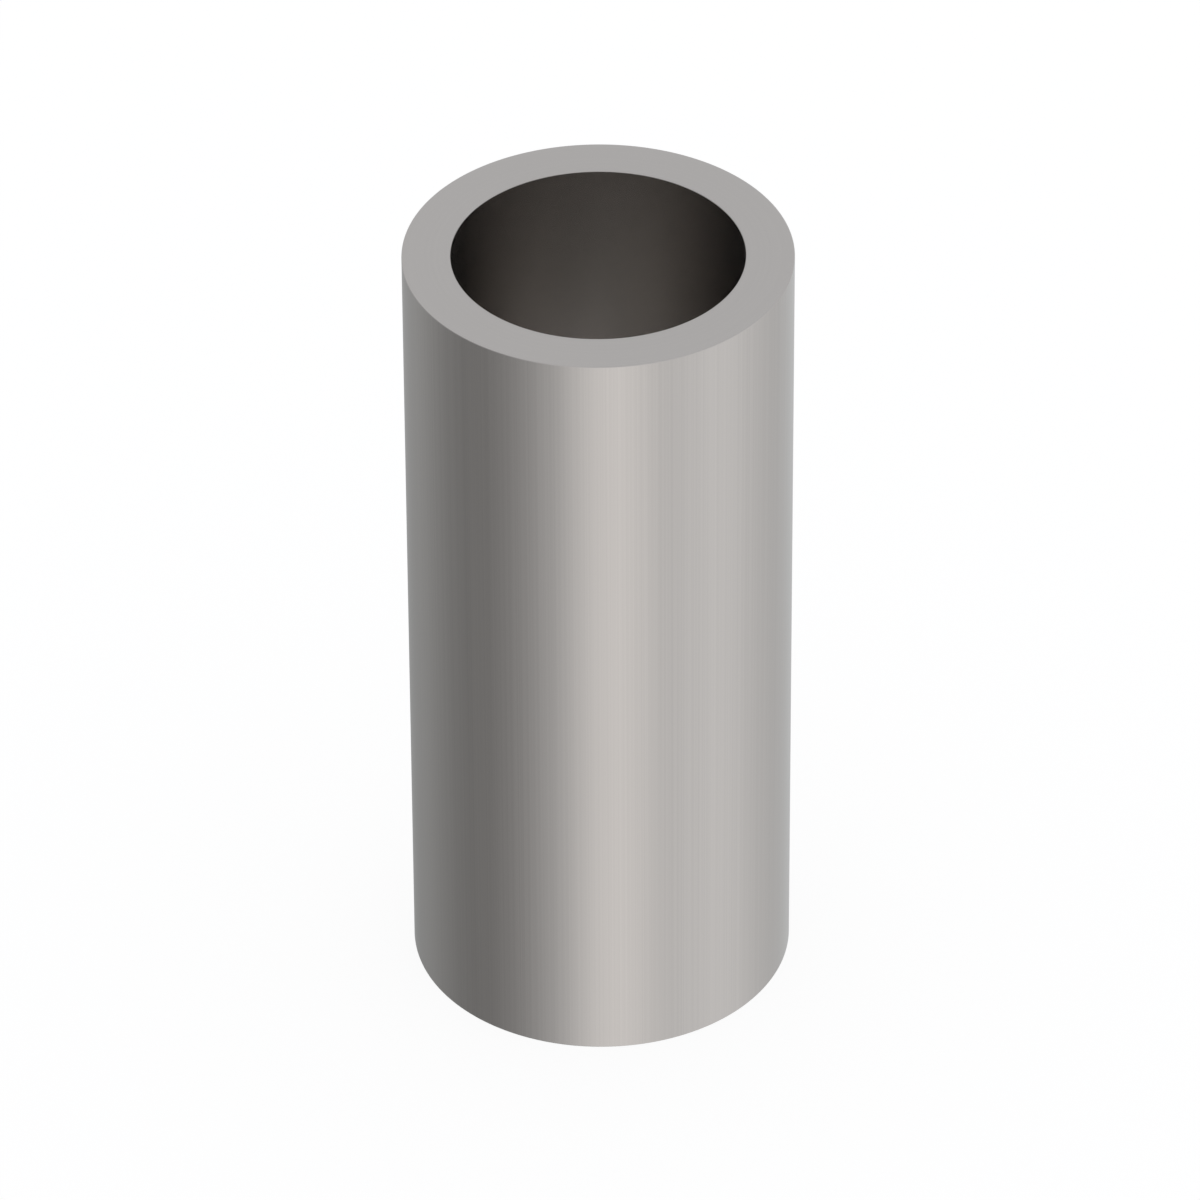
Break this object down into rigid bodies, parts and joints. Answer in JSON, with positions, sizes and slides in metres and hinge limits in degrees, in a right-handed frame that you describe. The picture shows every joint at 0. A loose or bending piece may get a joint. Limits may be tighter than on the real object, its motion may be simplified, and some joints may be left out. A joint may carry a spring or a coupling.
{
  "type": "spacer sleeve",
  "caption": "Plain round steel spacer sleeve with a through bore and square-cut ends, for holding two parts a set distance apart on a bolt.",
  "frame": {"origin": "centre of the lower end face, on the bore's axis, where the sleeve stands", "axes": "+Z along the bore, from the lower end face to the upper one; X and Y are free, because the sleeve is round"},
  "size_m": [0.016, 0.016, 0.035],
  "materials": {
    "bare_steel": "satin"
  },
  "bodies": {
    "root": {"sleeve": "bare_steel"}
  },
  "joints": []
}
